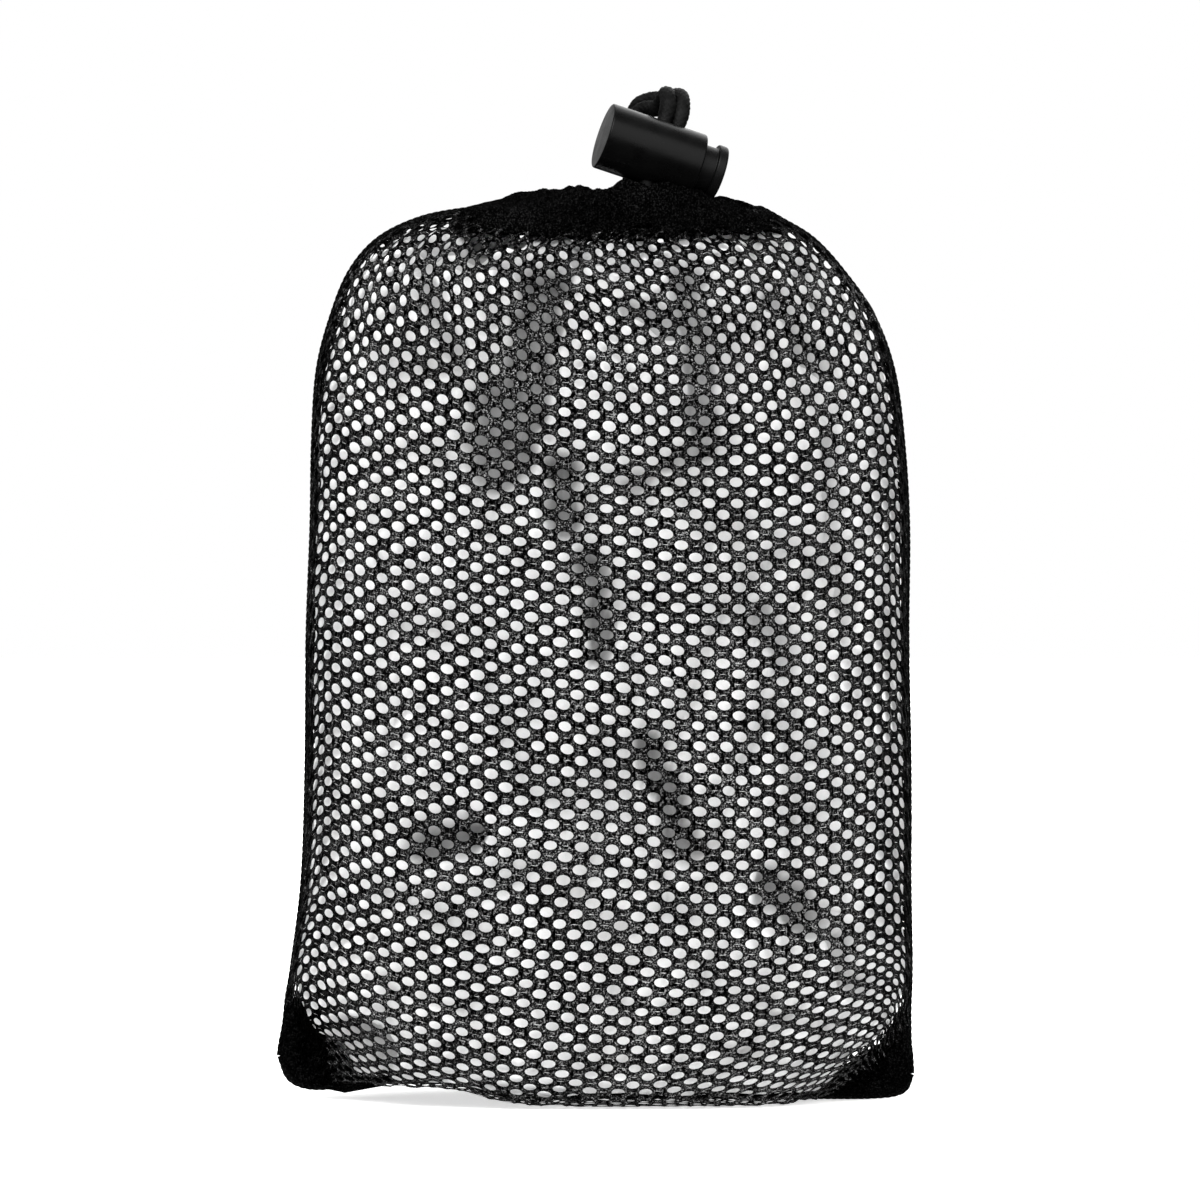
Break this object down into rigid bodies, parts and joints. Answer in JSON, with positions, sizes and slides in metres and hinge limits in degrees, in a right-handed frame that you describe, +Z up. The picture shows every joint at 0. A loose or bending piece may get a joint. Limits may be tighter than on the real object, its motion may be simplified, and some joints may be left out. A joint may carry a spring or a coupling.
{
  "type": "mesh ball bag",
  "caption": "Small filled drawstring bag of knitted mesh with sewn seams, a gathered hem and a spring cord lock that slides on the drawcord.",
  "frame": {"origin": "on the floor under the middle of the bag's width and depth", "axes": "+Z up, +X to the viewer's right along the bag's width, -Y out of the front panel"},
  "size_m": [0.1624, 0.0999, 0.2583],
  "materials": {
    "net_fabric": "matte black knitted polyester mesh",
    "seam_thread": "black overlock thread",
    "braided_cord": "black braided cord, slight sheen",
    "white_filling": "soft white crumpled sheet, matte",
    "lock_plastic": "satin moulded black plastic",
    "button_plastic": "satin moulded black plastic",
    "spring_steel": "bright spring wire"
  },
  "bodies": {
    "bag": {"front_panel": "net_fabric", "back_panel": "net_fabric", "side_seam_left": "seam_thread", "side_seam_right": "seam_thread", "bottom_seam": "seam_thread", "bottom_corner_left": "net_fabric", "bottom_corner_right": "net_fabric", "drawstring_channel": "net_fabric", "channel_stitching": "seam_thread", "drawcord": "braided_cord", "white_filling": "white_filling"},
    "lock_body": {"lock_barrel": "lock_plastic", "lock_spring": "spring_steel", "cord_end_left": "braided_cord", "cord_end_right": "braided_cord", "cord_knot": "braided_cord"},
    "lock_button": {"lock_plunger": "button_plastic"}
  },
  "joints": [
    {"name": "lock_slide", "type": "slide", "parent": "bag", "child": "lock_body", "axis": [0.2462, 0.2653, 0.9322], "range_m": [0, 0.008]},
    {"name": "button_press", "type": "slide", "parent": "lock_body", "child": "lock_button", "axis": [-0.9343, -0.1911, 0.3011], "range_m": [0, 0.0032], "stiffness_N_per_m": 1500, "springref_m": -0.002, "deforming": ["lock_spring"]}
  ]
}
